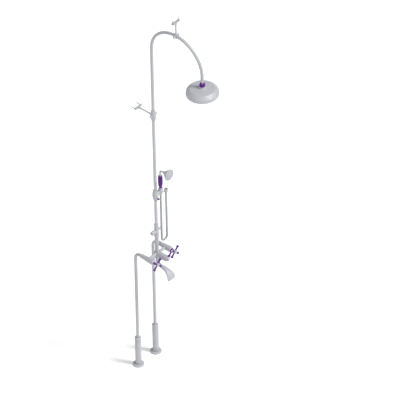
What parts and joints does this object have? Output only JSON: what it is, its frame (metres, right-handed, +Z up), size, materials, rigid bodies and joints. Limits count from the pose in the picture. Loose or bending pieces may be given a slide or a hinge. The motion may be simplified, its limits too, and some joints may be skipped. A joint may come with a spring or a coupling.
{
  "type": "exposed bath shower mixer",
  "caption": "Floor-standing bath mixer with cross handles, fan spout, tall riser with overhead rose, hand shower on a slider and hose, wall and ceiling stays.",
  "frame": {"origin": "on the floor, midway between the two standpipes", "axes": "+Z up, the user stands at -Y and the wall is at +Y, the two standpipes lie along X"},
  "size_m": [0.218, 0.632, 2.692],
  "materials": {
    "satin_metal": "satin",
    "purple_gloss": "gloss",
    "pale_inlay": "gloss",
    "dark_nylon": "matte",
    "hose_steel": "satin"
  },
  "bodies": {
    "stand": {"floor_flange_left": "satin_metal", "shroud_left": "satin_metal", "standpipe_left": "satin_metal", "inlet_nut_left": "satin_metal", "bonnet_left": "satin_metal", "floor_flange_right": "satin_metal", "shroud_right": "satin_metal", "standpipe_right": "satin_metal", "inlet_nut_right": "satin_metal", "bonnet_right": "satin_metal", "mixer_body": "satin_metal", "spout_nut": "satin_metal", "spout": "satin_metal", "riser_union": "satin_metal", "tee_body": "satin_metal", "tee_gland": "satin_metal", "hose_outlet": "satin_metal", "riser_pipe": "satin_metal", "overhead_arm": "satin_metal", "rose_ball": "satin_metal", "wall_stay_collar": "satin_metal", "wall_stay_rod": "satin_metal", "wall_stay_plate": "satin_metal", "wall_stay_screw_1": "satin_metal", "wall_stay_screw_2": "satin_metal", "ceiling_stay_collar": "satin_metal", "ceiling_stay_rod": "satin_metal", "ceiling_stay_plate": "satin_metal", "ceiling_stay_screw_1": "satin_metal", "ceiling_stay_screw_2": "satin_metal"},
    "left_tap": {"valve_spindle_left": "satin_metal", "handle_hub_left": "satin_metal", "handle_arm_left_1": "purple_gloss", "handle_arm_left_2": "purple_gloss", "handle_arm_left_3": "purple_gloss", "handle_arm_left_4": "purple_gloss"},
    "right_tap": {"valve_spindle_right": "satin_metal", "handle_hub_right": "satin_metal", "handle_arm_right_1": "purple_gloss", "handle_arm_right_2": "purple_gloss", "handle_arm_right_3": "purple_gloss", "handle_arm_right_4": "purple_gloss"},
    "diverter": {"diverter_spindle": "satin_metal", "diverter_collar": "satin_metal", "diverter_cap": "satin_metal", "diverter_lever": "purple_gloss", "lever_inlay": "pale_inlay"},
    "flow_knob": {"tee_knob": "satin_metal"},
    "rose": {"rose_nut": "purple_gloss", "rose_dome": "satin_metal", "rose_plate": "satin_metal"},
    "slider": {"slider_bush": "dark_nylon"},
    "holder": {"cradle": "satin_metal", "hose": "hose_steel", "hose_nut": "satin_metal"},
    "lock": {"lock_knob": "purple_gloss"},
    "handset": {"handset_ferrule": "satin_metal", "handset_handle": "purple_gloss", "handset_head": "satin_metal", "handset_face": "satin_metal"}
  },
  "joints": [
    {"name": "left_tap_turn", "type": "hinge", "parent": "stand", "child": "left_tap", "pos_m": [-0.075, -0.168, 0.842], "axis": [0, -1, 0], "range_deg": [0, 90]},
    {"name": "right_tap_turn", "type": "hinge", "parent": "stand", "child": "right_tap", "pos_m": [0.075, -0.168, 0.842], "axis": [0, -1, 0], "range_deg": [0, 90]},
    {"name": "diverter_swing", "type": "hinge", "parent": "stand", "child": "diverter", "pos_m": [0, -0.18, 0.842], "axis": [0, -1, 0], "range_deg": [0, 84]},
    {"name": "flow_knob_turn", "type": "hinge", "parent": "stand", "child": "flow_knob", "pos_m": [-0.03, -0.099, 1.012], "axis": [-1, 0, 0], "range_deg": [0, 90]},
    {"name": "rose_tilt", "type": "hinge", "parent": "stand", "child": "rose", "pos_m": [0, -0.482, 2.305], "axis": [1, 0, 0], "range_deg": [-10, 10]},
    {"name": "slider_slide", "type": "slide", "parent": "stand", "child": "slider", "axis": [0, 0, 1], "range_m": [-0.03, 0.3]},
    {"name": "holder_swivel", "type": "hinge", "parent": "slider", "child": "holder", "pos_m": [0, -0.099, 1.278], "axis": [0, 0, 1], "range_deg": [-30, 30]},
    {"name": "lock_turn", "type": "hinge", "parent": "holder", "child": "lock", "pos_m": [0, -0.119, 1.259], "axis": [0, -1, 0], "range_deg": [-90, 90]},
    {"name": "handset_turn", "type": "hinge", "parent": "holder", "child": "handset", "pos_m": [0.044, -0.099, 1.282], "axis": [0, 0, 1], "range_deg": [-40, 40]}
  ]
}
